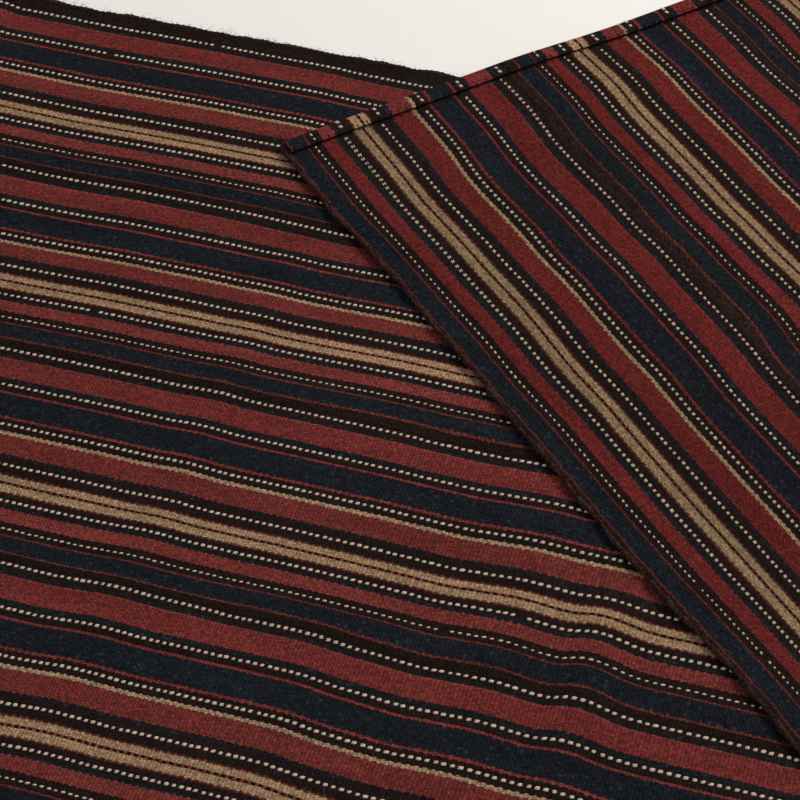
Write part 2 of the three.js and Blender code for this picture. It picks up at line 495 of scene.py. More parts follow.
class FoldedCloth:
    """The whole cloth: a flat sheet that is laid down, turned over along the fold and hemmed at both ends."""

    def __init__(self, sizes: ClothSizes, weave: Weave) -> None:
        """Works out the fold's directions and where its root lies in the frame.

        Args:
            sizes: the cloth's driving sizes.
            weave: where its picks and stripes lie.
        """
        self.sizes = sizes
        self.weave = weave
        angle = np.radians(sizes.fold_angle)
        self.along_fold = np.array([np.cos(angle), np.sin(angle)])
        self.left_of_fold = np.array([-np.sin(angle), np.cos(angle)])
        self.cotangent = 1 / np.tan(angle)
        self.sine = np.sin(angle)
        low = np.array(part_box(NODE)[0]) / METRE
        self.left_x = low[0]
        # The sheet's near edge runs a tenth of a millimetre inside the solid's outermost point
        self.near_y = low[1] + 0.1
        self.root = np.array([self.left_x + sizes.fold_start, self.near_y])

    def creased(self, along: Array, across: Array, push: Push) -> Array:
        """Adds up what the creases do to the cloth.

        Args:
            along: lengths from the left hem.
            across: widths from the near edge.
            push: which of a crease's two values is meant.

        Returns:
            The sum of each crease's value times its two humps.
        """
        return sum(
            getattr(c, push.value)
            * hump(along - c.along, c.before, c.after)
            * hump(across - c.across, c.reach, c.reach)
            for c in CREASES
        )

    def ripple(self, along: Array, across: Array) -> Array:
        """How far the cloth stands off its level: slow sines both ways, never below 0."""
        waves = np.sin(along / 31 + across / 49) * np.sin(across / 37 - along / 113 + 0.9)
        return self.sizes.ripple * (1 + waves) / 2

    def lifted(self, along: Array, across: Array) -> Array:
        """The height of creases and ripples together."""
        return self.creased(along, across, Push.LIFT) + self.ripple(along, across)

    def middle(self, along: Array, across: Array) -> Array:
        """Where the middle of the cloth's thickness lies.

        The lower layer keeps its flat place. Past the fold the cloth follows a half circle, and from there
        on it is the flat cloth mirrored in the fold, one layer up, and down on the floor past the far edge.

        Args:
            along: lengths from the left hem.
            across: widths from the near edge.

        Returns:
            Points in millimetres, in the row frame, one more axis than the arguments.
        """
        s = self.sizes
        lift = self.lifted(along, across)
        rise = across + self.creased(along, across, Push.SHIFT)
        run = along - s.fold_start
        past = run * self.along_fold[1] - rise * self.along_fold[0]
        on_fold = run * self.along_fold[0] + rise * self.along_fold[1]
        bend = np.pi * s.fold_radius

        over_hem = (s.thick + s.hem_gap) * (1 - ease((along - s.hem) / s.hem_fall))
        laid = np.stack([self.root[0] + run, self.root[1] + rise, s.thick / 2 + over_hem + lift], -1)

        turn = np.clip(past, 0, bend) / s.fold_radius
        out = np.where(past < bend, -s.fold_radius * np.sin(turn), past - bend)
        x = self.root[0] + on_fold * self.along_fold[0] + out * self.left_of_fold[0]
        y = self.root[1] + on_fold * self.along_fold[1] + out * self.left_of_fold[1]
        far_y = self.near_y + s.width
        on_layer = 1 - ease((y - far_y - s.edge_clear) / s.edge_fall)
        under = self.lifted(x - self.left_x, y - self.near_y) * on_layer
        level = (s.thick + s.layer_gap) * on_layer + under
        from_bend = (2 * s.fold_radius - s.thick - s.layer_gap) * (1 - ease((past - bend) / s.settle))
        arc = s.fold_radius * (1 - np.cos(turn))
        height = s.thick / 2 + lift + np.where(past < bend, arc, level + from_bend)
        turned = np.stack([x, y, height], -1)
        return np.where((past <= 0)[..., None], laid, turned)

    def surface(self, along: Array, across: Array, off: Array) -> Array:
        """A point at a distance off the middle of the thickness, hems and all.

        Past either end's bend the sheet turns round a half circle to its back and then lies on it: the
        point's length moves by the radius times the sine, and its depth by the radius times one less the
        cosine, while the direction of its offset turns with the sheet.

        Args:
            along: lengths on the sheet itself, below first or above last in the hems.
            across: widths from the near edge.
            off: distances from the middle, towards the face where positive.

        Returns:
            Points in millimetres, in the row frame.
        """
        s = self.sizes
        over = np.maximum(along - s.last, 0) + np.maximum(s.first - along, 0)
        outward = np.where(along > (s.first + s.last) / 2, 1.0, -1.0)
        turn = np.clip(over / s.turn, 0, np.pi)
        back = np.maximum(over - np.pi * s.turn, 0)
        base = np.clip(along, s.first, s.last)
        length = base + outward * ((s.turn + off) * np.sin(turn) - back)
        depth = -s.turn * (1 - np.cos(turn)) + off * np.cos(turn)
        slip = s.hem_slip * ease(over / (np.pi * s.turn)) * (outward > 0)
        width = across + slip
        here = self.middle(length, width)
        step = s.probe
        slope_along = self.middle(length + step, width) - self.middle(length - step, width)
        slope_across = self.middle(length, width + step) - self.middle(length, width - step)
        normal = np.cross(slope_along, slope_across)
        normal /= np.linalg.norm(normal, axis=-1, keepdims=True)
        return here + normal * depth[..., None]

    def fold_at(self, across: Array) -> Array:
        """Length at which the cloth meets the fold, for widths across it."""
        return self.sizes.fold_start + across * self.cotangent

    def columns(self, across: Array) -> Array:
        """Lengths of the grid's columns at each width: square at both ends, along the fold in the middle.

        Args:
            across: widths of the grid's rows.

        Returns:
            An array of columns by rows.
        """
        s = self.sizes
        rows = np.ones_like(across)
        fold = self.fold_at(across)
        bend = np.pi * s.fold_radius / self.sine
        settled = fold + bend + s.settle / self.sine

        def between(start: Array, stop: Array, count: int) -> Array:
            """Even steps from a start up to, and without, a stop."""
            share = np.linspace(0, 1, count, endpoint=False)[:, None]
            return start + (stop - start) * share

        left = between(s.first - s.hem_run, s.first, 14) * rows
        lower = between(s.first, s.straight_lower, 118) * rows
        to_fold = between(s.straight_lower * rows, fold, 58)
        over = between(fold, fold + bend, 14)
        settle = between(fold + bend, settled, 20)
        from_fold = between(settled, s.straight_flap * rows, 36)
        flap = between(s.straight_flap, s.last, 68) * rows
        right = between(s.last, s.last + s.hem_run, 14) * rows
        end = np.full((1, 1), s.last + s.hem_run) * rows
        return np.concatenate([left, lower, to_fold, over, settle, from_fold, flap, right, end])

    def half_thickness(self, along: Array, across: Array) -> Array:
        """Half the thickness: full inside, a quarter circle at the woven edges, and thin at a hem's end.

        Args:
            along: lengths on the sheet itself.
            across: widths from the near edge.

        Returns:
            Distances from the middle of the thickness to either side.
        """
        s = self.sizes
        inward = np.minimum(across, s.width - across)
        rounding = np.sqrt(np.clip(1 - (1 - np.clip(inward / s.rounded, 0, 1)) ** 2, 0.03, 1))
        over = np.maximum(along - s.last, 0) + np.maximum(s.first - along, 0)
        thin = 1 - 0.6 * ease((over - s.hem_run + s.hem_thin) / s.hem_thin)
        return s.thick / 2 * rounding * thin

    def sheet(self) -> tuple[Array, Array, Array, Array]:
        """Works out the closed sheet: a grid for the face, one for the back and a rim between them.

        Returns:
            Points in millimetres, quads, each corner's place in the weave, and each quad's side: 0 for the
            face where it shows, 1 for the back where it shows, 2 and 3 for both where they lie hidden.
        """
        s = self.sizes
        edge, first_row, rows_between = np.array([0.0, 0.5, 1.3, 2.4, 3.8]), 5.2, 122
        inner = np.linspace(first_row, s.width - first_row, rows_between)
        across = np.concatenate([edge, inner, s.width - edge[::-1]])
        along = self.columns(across)
        width = np.broadcast_to(across, along.shape)
        half = self.half_thickness(along, width)
        face, back = (self.surface(along, width, side * half) for side in (1.0, -1.0))
        count, rows = along.shape
        points = np.concatenate([face.reshape(-1, 3), back.reshape(-1, 3)])
        woven = np.tile(self.weave.woven(along, width).reshape(-1, 2), (2, 1))

        number = np.arange(count * rows).reshape(count, rows)
        a, b, c, d = number[:-1, :-1], number[1:, :-1], number[1:, 1:], number[:-1, 1:]
        top = np.stack([a, b, c, d], -1).reshape(-1, 4)
        under = top[:, ::-1] + count * rows
        loop = np.concatenate([number[:, 0], number[-1, 1:], number[-2::-1, -1], number[0, -2:0:-1]])
        after = np.roll(loop, -1)
        rim = np.stack([after, loop, loop + count * rows, after + count * rows], -1)
        quads = np.concatenate([top, under, rim])
        start = along.reshape(-1)[top[:, 0]]
        folded = ((along - self.fold_at(width)) > 0).reshape(-1)[top[:, 0]]
        hidden_face = folded & (start < s.last)
        side = np.concatenate([np.where(hidden_face, 2, 0), np.where(folded, 1, 3), np.ones(len(rim), int)])
        return points, quads, woven[quads.reshape(-1)], side

    def build(self, name: str, *wools: bpy.types.Material) -> bpy.types.Object:
        """Makes the sheet's mesh.

        Args:
            name: the piece's name.
            wools: the materials of its four sides.

        Returns:
            The object.
        """
        return dress(make_mesh(name, *self.sheet()), *wools)

    def covered(self, along: Array, across: Array, margin: float) -> Array:
        """Tells where the folded part hides the lower layer: the place is mirrored back in the fold.

        Args:
            along: lengths on the lower layer.
            across: widths on it.
            margin: how far inside the folded part's outline a place has to be.

        Returns:
            True where hidden.
        """
        run, rise = along - self.sizes.fold_start, across
        on_fold = run * self.along_fold[0] + rise * self.along_fold[1]
        out = run * self.left_of_fold[0] + rise * self.left_of_fold[1]
        past = out + np.pi * self.sizes.fold_radius
        far = self.sizes.fold_start + past * self.along_fold[1] + on_fold * self.along_fold[0]
        wide = on_fold * self.along_fold[1] - past * self.along_fold[0]
        inside = (wide > margin) & (wide < self.sizes.width - margin) & (far < self.sizes.length - margin)
        return inside & (out > 0)

    def showing(self, part: Part, along: Array, across: Array) -> Array:
        """Tells which places belong to a part and show.

        Args:
            part: the part.
            along: lengths on the sheet.
            across: widths on it.

        Returns:
            True where a place shows.
        """
        s = self.sizes
        fold = self.fold_at(across)
        if part is Part.LOWER:
            shown = (along > s.first + s.limit) & (along < fold)
            return shown & ~self.covered(along, across, s.cover)
        if part is Part.FOLDED:
            return (along > fold + s.fold_radius) & (along < s.length - s.hem - s.limit)
        bend = s.last + np.pi * s.turn / 2
        return (along > bend) & (along < s.last + s.hem_run - s.limit)


def make_mesh(
    name: str, points: Array, polygons: Array, woven: Array, slot_of: Array | None = None
) -> bpy.types.Object:
    """Puts worked-out points and polygons of equal length into a smooth mesh object at the origin.

    Args:
        name: the piece's name.
        points: corners in millimetres.
        polygons: one row of corner numbers for each polygon.
        woven: each polygon corner's place in the weave, in metres, for the UV map.
        slot_of: each polygon's material slot number, or None for the first.

    Returns:
        The object, linked to the scene.
    """
    mesh = bpy.data.meshes.new(name)
    sides = polygons.shape[1]
    mesh.vertices.add(len(points))
    mesh.vertices.foreach_set("co", (points * METRE).astype(np.float32).ravel())
    mesh.loops.add(polygons.size)
    mesh.loops.foreach_set("vertex_index", polygons.astype(np.int32).ravel())
    mesh.polygons.add(len(polygons))
    mesh.polygons.foreach_set("loop_start", np.arange(len(polygons), dtype=np.int32) * sides)
    if slot_of is not None:
        mesh.polygons.foreach_set("material_index", slot_of.astype(np.int32))
    mesh.polygons.foreach_set("use_smooth", np.ones(len(polygons), bool))
    mesh.uv_layers.new(name="woven").data.foreach_set("uv", woven.astype(np.float32).ravel())
    mesh.update()
    mesh.validate()
    piece = bpy.data.objects.new(name, mesh)
    bpy.context.scene.collection.objects.link(piece)
    return piece


def dress(piece: bpy.types.Object, *materials: bpy.types.Material) -> bpy.types.Object:
    """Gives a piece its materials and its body.

    Args:
        piece: the piece.
        materials: its materials, in the order of its polygons' slot numbers.

    Returns:
        The same piece.
    """
    for material in materials:
        piece.data.materials.append(material)
    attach(piece, "root")
    return piece


def repeated(polygons: Array, corners: int, count: int) -> Array:
    """Copies one small shape's polygons for each of its copies.

    Args:
        polygons: the shape's corner numbers.
        corners: how many corners it has.
        count: how many copies there are.

    Returns:
        The corner numbers of all copies.
    """
    return (polygons[None] + corners * np.arange(count)[:, None, None]).reshape(-1, polygons.shape[1])


def tube_polygons(rings: int, around: int, tips: bool) -> Array:
    """Triangles of a closed tube, its corners listed ring after ring, round the left-hand side first.

    Args:
        rings: number of rings.
        around: corners in a ring.
        tips: True where a first and a last corner close the tube, False where flat fans do.

    Returns:
        Corner numbers, three to a row.
    """
    base = 1 if tips else 0
    ring = np.arange(rings - 1)[:, None] * around + base
    p = np.arange(around)
    q = (p + 1) % around
    walls = np.concatenate([
        np.stack([ring + p, ring + around + p, ring + around + q], -1).reshape(-1, 3),
        np.stack([ring + p, ring + around + q, ring + q], -1).reshape(-1, 3),
    ])
    last = base + (rings - 1) * around
    if tips:
        start = np.stack([np.zeros(around, int), base + p, base + q], -1)
        stop = np.stack([np.full(around, last + around), last + q, last + p], -1)
    else:
        k = np.arange(1, around - 1)
        start = np.stack([np.zeros_like(k), k, k + 1], -1)
        stop = np.stack([np.full_like(k, last), last + k + 1, last + k], -1)
    return np.concatenate([walls, start, stop])


def fill(ramp: bpy.types.ColorRamp, stops: list[tuple[float, tuple[float, ...]]]) -> None:
    """Fills a colour ramp with sharp steps.

    Args:
        ramp: the ramp, with its first two stops in place.
        stops: where each step begins, from 0 to 1, and its colour.
    """
    ramp.interpolation = "CONSTANT"
    for k, (spot, colour) in enumerate(stops):
        element = ramp.elements[k] if k < 2 else ramp.elements.new(spot)
        element.position = spot
        element.color = colour


class Nodes:
    """The node tree of one kind of wool."""

    def __init__(self, name: str) -> None:
        """Starts a material with an empty tree.

        Args:
            name: the material's name.
        """
        self.material = bpy.data.materials.new(name)
        self.material.use_nodes = True
        self.tree = self.material.node_tree
        self.tree.nodes.clear()

    def add(
        self, kind: str, *inputs: object, named: dict[str, object] | None = None, **settings: object
    ) -> bpy.types.Node:
        """Adds a node with its settings and the links into it.

        Args:
            kind: the node's type name, without the leading "ShaderNode".
            inputs: what its sockets in use take, in their order. An output socket is linked, a node stands
                for its first output in use, and anything else is set.
            named: the same for sockets that are called by their names.
            settings: its attributes.

        Returns:
            The new node.
        """
        node = self.tree.nodes.new("ShaderNode" + kind)
        for name, value in settings.items():
            setattr(node, name, value)
        in_use = [socket for socket in node.inputs if socket.enabled]
        called = [(node.inputs[name], value) for name, value in (named or {}).items()]
        for socket, value in [*zip(in_use, inputs), *called]:
            if isinstance(value, bpy.types.Node):
                value = next(output for output in value.outputs if output.enabled)
            if isinstance(value, bpy.types.NodeSocket):
                self.tree.links.new(value, socket)
            else:
                socket.default_value = value
        return node

    def finish(self, colour: bpy.types.Node, height: bpy.types.Node, strength: float) -> bpy.types.Material:
        """Adds matt wool's shader, with a height in millimetres as its bump.

        Args:
            colour: the base colour.
            height: the height.
            strength: the bump's strength.

        Returns:
            The material.
        """
        relief = {"Strength": strength, "Distance": METRE, "Height": height}
        bump = self.add("Bump", named=relief)
        matt = {"Base Color": colour, "Roughness": 0.95, "Specular IOR Level": 0.02, "Normal": bump}
        self.add("OutputMaterial", self.add("BsdfPrincipled", named=matt))
        return self.material


@dataclass(frozen=True)
class WarpFacedWool:
    """Handspun wool warps that float over one weft and dive under the next, beaten close.

    The eye gets matt yarn in small beads, laid like bricks on fine ribs, finely toothed stripe edges, and a
    value that wanders from bead to bead and from dye lot to dye lot. The gaps between the beads, and the
    pinholes at
    their corners, are painted darker: painted shade in the weave's hollows, along with their bump.

    Attributes:
        name: the material's name.
        side: the side of the cloth whose colours it has.
        dashes: True where the cream floats are painted, on a side that has none in relief.
        fuzz: share of pale hairiness over the weave.
        depth: how much darker a gap is than the bead beside it: painted shade in the weave's hollows.
        flank: how much darker a gap between two warps is, of that depth; its hill is also the bump.
        rib: the same for a gap between two picks.
        pinhole: the same for the product of both, at a bead's corners.
        teeth: how far a stripe's edge follows its beads, from 0 to 1.
        twist: 1 where the fibres slant away from the near edge along the stripes, -1 where towards it.
        early: how far before its chart a stripe starts, since a colour ramp only turns at its next step.
        strays: how many times the warps and picks stray to and fro in a millimetre.
        stray: how far the warps stray aside, in millimetres.
        lead: how far the picks stray ahead, in picks.
        bead_shade: how far the value wanders from bead to bead, as a share.
        ply_shade: the same along the fibres of the ply.
        dye_shade: the same along a warp's length, as it was dyed.
        dye_size: the dye's patches along and across the stripes, in millimetres.
        lot_shade: how far the value wanders from one part of the cloth to another.
        lot_size: the size of those parts, in millimetres.
        tint: how far the colour wanders from bead to bead, as a share.
        flecked: share of the blue's beads that have a pale fleck.
        fleck: the most that a fleck covers.
        bead_height: how high a bead stands, in millimetres.
        ply_height: how high the ply stands on it.
    """

    name: str
    side: Side
    dashes: bool = False
    fuzz: float = 0.0
    depth: float = 0.9
    flank: float = 1.7
    rib: float = 0.8
    pinhole: float = 14.0
    teeth: float = 0.65
    twist: float = -1.0
    early: float = 0.45
    strays: float = 0.45
    stray: float = 0.4
    lead: float = 0.25
    bead_shade: float = 0.27
    ply_shade: float = 1.0
    dye_shade: float = 0.28
    dye_size: tuple[float, float] = (75.0, 9.0)
    lot_shade: float = 0.12
    lot_size: tuple[float, float] = (260.0, 160.0)
    tint: float = 0.03
    flecked: float = 0.06
    fleck: float = 0.3
    bead_height: float = 0.3
    ply_height: float = 0.2

    @property
    def mean_hill(self) -> float:
        """The hill's mean over a bead, where a square's mean is a twelfth and that of their product 1/144."""
        return 1 - (self.flank + self.rib) / 12 - self.pinhole / 144

    def build(self, sizes: ClothSizes) -> bpy.types.Material:
        """Makes the node material. The UV map holds the place in the weave, in metres.

        A bead is one warp over one pick: beads stand a bead's width apart in a pick, and half a width over
        in the next. A plane noise makes warps and picks stray a little from their even places.

        Args:
            sizes: the cloth's driving sizes.

        Returns:
            The material.
        """
        nodes = Nodes(self.name)
        place = nodes.add("SeparateXYZ", nodes.add("UVMap", uv_map="woven"))
        along = nodes.add("Math", place.outputs[0], 1 / METRE, operation="MULTIPLY")
        charted = nodes.add("Math", place.outputs[1], 1 / METRE, operation="MULTIPLY")
        even = nodes.add("CombineXYZ", along, charted)
        strays = nodes.add("TexNoise", even, self.strays, 2.0, noise_dimensions="2D").outputs[1]
        stray = nodes.add("SeparateColor", strays)
        sidestep = nodes.add("Math", stray.outputs[0], 2 * self.stray, -self.stray, operation="MULTIPLY_ADD")
        across = nodes.add("Math", charted, sidestep, operation="ADD")
        lead = nodes.add("Math", stray.outputs[1], 2 * self.lead, -self.lead, operation="MULTIPLY_ADD")
        picks = nodes.add("Math", along, 1 / sizes.pick, lead, operation="MULTIPLY_ADD")

        pick = nodes.add("Math", picks, operation="ROUND")
        odd = nodes.add("Math", pick, 2.0, operation="FLOORED_MODULO")
        half_over = nodes.add("Math", odd, 0.5, operation="MULTIPLY")
        beads = nodes.add("Math", across, 1 / sizes.bead, half_over, operation="MULTIPLY_ADD")
        bead = nodes.add("Math", beads, operation="ROUND")
        ahead = nodes.add("Math", picks, pick, operation="SUBTRACT")
        aside = nodes.add("Math", beads, bead, operation="SUBTRACT")
        # The hill gives the bump, and also the painted shade that darkens the colour in the gaps
        hill = self.hill(nodes, ahead, aside)
        warp = nodes.add("Math", bead, half_over, operation="SUBTRACT")
        colour = self.dashed_line(nodes, self.striped(nodes, warp, across, sizes), across, odd, sizes)

        slanted = self.slanted(nodes, along, across)
        ply = nodes.add("TexNoise", slanted, 1.0, 3.0, noise_dimensions="2D")
        grain = nodes.add("TexWhiteNoise", nodes.add("CombineXYZ", pick, bead), noise_dimensions="2D")
        chance = nodes.add("SeparateColor", grain.outputs[1])
        value = self.value(nodes, along, across, hill, ply, chance.outputs[0])
        most, least = (2 * self.tint,) * 3, (1 - self.tint,) * 3
        tint = nodes.add("VectorMath", grain.outputs[1], most, least, operation="MULTIPLY_ADD")
        tinted = nodes.add("VectorMath", colour, tint, operation="MULTIPLY")
        shaded = nodes.add("VectorMath", tinted, value, operation="SCALE")

        stripe = nodes.add("SeparateColor", colour)
        share = nodes.add("Math", stripe.outputs[2], stripe.outputs[0], operation="GREATER_THAN")
        rare = nodes.add("Math", chance.outputs[1], 1 - self.flecked, operation="GREATER_THAN")
        for factor in (rare, chance.outputs[2], self.fleck):
            share = nodes.add("Math", share, factor, operation="MULTIPLY")
        colour = nodes.add("Mix", share, shaded, Yarn.FLECK.on(self.side), data_type="RGBA")
        if self.dashes:
            dash = self.dash(nodes, picks, across, sizes)
            colour = nodes.add("Mix", dash, colour, Yarn.CREAM.on(self.side), data_type="RGBA")
        if self.fuzz:
            fibres = nodes.add("TexNoise", slanted, 0.7, 4.0, noise_dimensions="2D")
            hairs = nodes.add("Math", fibres, 0.6, operation="GREATER_THAN")
            pale = nodes.add("Math", hairs, self.fuzz, operation="MULTIPLY")
            colour = nodes.add("Mix", pale, colour, Yarn.HAIR.on(self.side), data_type="RGBA")
        low = nodes.add("Math", ply, self.ply_height, operation="MULTIPLY")
        height = nodes.add("Math", hill, self.bead_height, low, operation="MULTIPLY_ADD")
        return nodes.finish(colour, height, 0.7)

    def hill(self, nodes: Nodes, ahead: bpy.types.Node, aside: bpy.types.Node) -> bpy.types.Node:
        """Raises the beads, for the bump and for the painted shade in their gaps.

        A bead's hill is 1 less the squares of how far a place is along and across it, with shares of their
        own, and less a share of their product, which makes a pinhole at its corners.

        Args:
            nodes: the material's nodes.
            ahead: how far a place is ahead of its bead's middle, as a share of the bead.
            aside: how far it is aside of it.

        Returns:
            The hill, 1 at its top.
        """
        end = nodes.add("Math", ahead, ahead, operation="MULTIPLY")
        flank = nodes.add("Math", aside, aside, operation="MULTIPLY")
        corner = nodes.add("Math", end, flank, operation="MULTIPLY")
        hole = nodes.add("Math", corner, -self.pinhole, 1.0, operation="MULTIPLY_ADD")
        rib = nodes.add("Math", end, -self.rib, hole, operation="MULTIPLY_ADD")
        return nodes.add("Math", flank, -self.flank, rib, operation="MULTIPLY_ADD")

    def slanted(self, nodes: Nodes, along: bpy.types.Node, across: bpy.types.Node) -> bpy.types.Node:
        """Turns a place so that a noise over it is drawn out along the spun fibres.

        The noise has about 1.5 waves a millimetre across the fibres and half of one along them, and the
        fibres lie about 25 degrees off the stripes.

        Args:
            nodes: the material's nodes.
            along: length along the stripes, in millimetres.
            across: the charted width, in millimetres.

        Returns:
            The turned place.
        """
        wide = nodes.add("Math", across, 1.4, operation="MULTIPLY")
        long = nodes.add("Math", along, 0.45, operation="MULTIPLY")
        over = nodes.add("Math", along, -0.65 * self.twist, wide, operation="MULTIPLY_ADD")
        on = nodes.add("Math", across, 0.2 * self.twist, long, operation="MULTIPLY_ADD")
        return nodes.add("CombineXYZ", over, on)

    def value(
        self, nodes: Nodes, along: bpy.types.Node, across: bpy.types.Node, hill: bpy.types.Node,
        ply: bpy.types.Node, chance: bpy.types.NodeSocket,
    ) -> bpy.types.Node:
        """Works out how light the weave is: 1 in the mean, with painted shade in its gaps, wandering in four
        ways.

        Args:
            nodes: the material's nodes.
            along: length along the stripes, in millimetres.
            across: the charted width, in millimetres.
            hill: the beads' height, 1 at their top.
            ply: a noise along the fibres.
            chance: a random share for each bead.

        Returns:
            The factor on the stripe's colour.
        """
        spot = nodes.add("CombineXYZ", along, across)
        patch = nodes.add("VectorMath", spot, (*self.dye_size, 1.0), operation="DIVIDE")
        dye = nodes.add("TexNoise", patch, 1.0, 3.0, noise_dimensions="2D")
        region = nodes.add("VectorMath", spot, (*self.lot_size, 1.0), operation="DIVIDE")
        lot = nodes.add("TexNoise", region, 1.0, 1.0, noise_dimensions="2D")
        wanders = (
            (chance, self.bead_shade), (ply, self.ply_shade), (dye, self.dye_shade), (lot, self.lot_shade)
        )
        # Painted shade: the gaps between the beads are made darker than their tops
        ground = 1 - self.mean_hill * self.depth
        value = nodes.add("Math", hill, self.depth, ground, operation="MULTIPLY_ADD")
        for wander, shade in wanders:
            factor = nodes.add("Math", wander, 2 * shade, 1 - shade, operation="MULTIPLY_ADD")
            value = nodes.add("Math", value, factor, operation="MULTIPLY")
        return value

    def striped(
        self, nodes: Nodes, warp: bpy.types.Node, across: bpy.types.Node, sizes: ClothSizes
    ) -> bpy.types.Node:
        """Lays the chart's stripes, toothed where a whole bead takes the colour at its middle.

        Args:
            nodes: the material's nodes.
            warp: the number of the warp that a place is on, in beads.
            across: the charted width, in millimetres.
            sizes: the cloth's driving sizes.

        Returns:
            The stripes' colour.
        """
        middle = nodes.add("Math", warp, sizes.bead, operation="MULTIPLY")
        plain = nodes.add("Math", across, 1 - self.teeth, operation="MULTIPLY")
        toothed = nodes.add("Math", middle, self.teeth, plain, operation="MULTIPLY_ADD")
        early = nodes.add("Math", toothed, self.early, operation="ADD")
        closing = sizes.repeats * sizes.repeat + sizes.closing_brown
        inside = nodes.add("Math", early, closing, operation="MINIMUM")
        repeats = nodes.add("Math", inside, 1 / sizes.repeat, operation="MULTIPLY")
        stripes = nodes.add("ValToRGB", nodes.add("Math", repeats, operation="FRACT"))
        fill(stripes.color_ramp, [(s.start / sizes.repeat, s.yarn.on(self.side)) for s in STRIPES])
        return stripes

    def dashed_line(
        self, nodes: Nodes, below: bpy.types.Node, across: bpy.types.Node, odd: bpy.types.Node,
        sizes: ClothSizes,
    ) -> bpy.types.Node:
        """Lays the line in the middle of the tan over the stripes: dark over one pick, red over the next.

        Args:
            nodes: the material's nodes.
            below: the stripes' colour.
            across: the charted width, in millimetres.
            odd: 1 for every other pick, and 0 for the rest.
            sizes: the cloth's driving sizes.

        Returns:
            The colour with the line on it.
        """
        repeats = nodes.add("Math", across, 1 / sizes.repeat, operation="MULTIPLY")
        inside = nodes.add("Math", repeats, operation="FRACT")
        off = nodes.add("Math", inside, sizes.dashed_line / sizes.repeat, operation="SUBTRACT")
        apart = nodes.add("Math", off, operation="ABSOLUTE")
        line = nodes.add("Math", apart, sizes.dashed_width / 2 / sizes.repeat, operation="LESS_THAN")
        dark = nodes.add("Mix", line, below, Yarn.SEAM.on(self.side), data_type="RGBA")
        dashes = nodes.add("Math", line, odd, operation="MULTIPLY")
        return nodes.add("Mix", dashes, dark, Yarn.RED_NARROW.on(self.side), data_type="RGBA")

    def dash(
        self, nodes: Nodes, picks: bpy.types.Node, across: bpy.types.Node, sizes: ClothSizes
    ) -> bpy.types.Node:
        """Marks the cream floats: inside a row's width, and over a share of each two picks.

        Args:
            nodes: the material's nodes.
            picks: the number of picks up to a place.
            across: the charted width, in millimetres.
            sizes: the cloth's driving sizes.

        Returns:
            1 on a float, and 0 beside it.
        """
        repeats = nodes.add("Math", across, 1 / sizes.repeat, operation="MULTIPLY")
        rows = nodes.add("ValToRGB", nodes.add("Math", repeats, operation="FRACT"))
        beside, inside = (0.0, 0.0, 0.0, 1.0), (1.0, 1.0, 1.0, 1.0)
        stops = [(0.0, beside)]
        for row in FLOAT_ROWS:
            stops.append(((row.across - row.half_width) / sizes.repeat, inside))
            stops.append(((row.across + row.half_width) / sizes.repeat, beside))
        fill(rows.color_ramp, stops)
        beats = nodes.add("Math", picks, 0.5, operation="MULTIPLY")
        beat = nodes.add("Math", beats, operation="FRACT")
        off = nodes.add("Math", beat, 0.5, operation="SUBTRACT")
        apart = nodes.add("Math", off, operation="ABSOLUTE")
        over = nodes.add("Math", apart, sizes.painted / 2, operation="LESS_THAN")
        return nodes.add("Math", rows, over, operation="MULTIPLY")


@dataclass(frozen=True)
class PlainYarn:
    """Spun wool of one colour, for what is sewn, or woven in one yarn.

    The eye gets matt strands whose value wanders, with the fine bumps of their ply.

    Attributes:
        name: the material's name.
        colour: sRGB hex.
        spread: how far its value wanders, as a share.
        grain: size of the wander, in millimetres.
    """

    name: str
    colour: str
    spread: float
    grain: float

    def build(self) -> bpy.types.Material:
        """Makes the node material.

        Returns:
            The material.
        """
        nodes = Nodes(self.name)
        place = nodes.add("TexCoord").outputs["Object"]
        tone = nodes.add("TexNoise", place, 1 / (self.grain * METRE), 4.0)
        value = nodes.add("Math", tone, 5 * self.spread, 1 - 2.5 * self.spread, operation="MULTIPLY_ADD")
        colour = nodes.add("VectorMath", linear(self.colour)[:3], value, operation="SCALE")
        ply = nodes.add("TexNoise", place, 3 / (self.grain * METRE), 2.0)
        return nodes.finish(colour, nodes.add("Math", ply, 0.2, operation="MULTIPLY"), 0.6)


